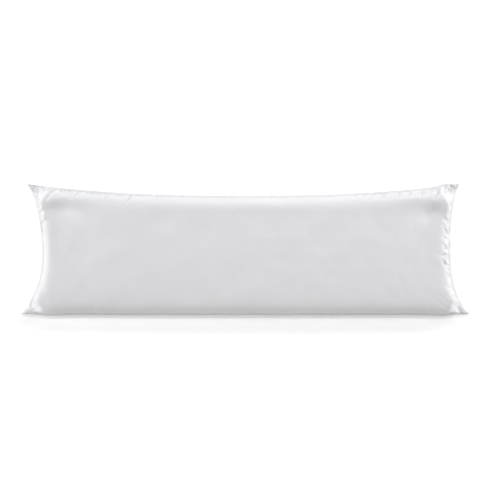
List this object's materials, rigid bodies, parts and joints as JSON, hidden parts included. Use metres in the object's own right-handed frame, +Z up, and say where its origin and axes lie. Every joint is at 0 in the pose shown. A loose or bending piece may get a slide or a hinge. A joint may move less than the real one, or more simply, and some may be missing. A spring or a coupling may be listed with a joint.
{
  "type": "body pillow",
  "caption": "Long rectangular body pillow in plain white cotton, filled and crowned, with drawn-in sides, sewn edges and flat corner ears.",
  "frame": {"origin": "on the floor under the middle of the pillow's bounding box", "axes": "+X along the pillow towards the picture's right end, +Y across it towards the picture's upper edge, +Z up out of its face"},
  "size_m": [1.297, 0.3837, 0.1163],
  "materials": {
    "cover_cloth": "fine plain-woven cotton, matt with a faint soft sheen"
  },
  "bodies": {
    "root": {"body_pillow": "cover_cloth"}
  },
  "joints": []
}
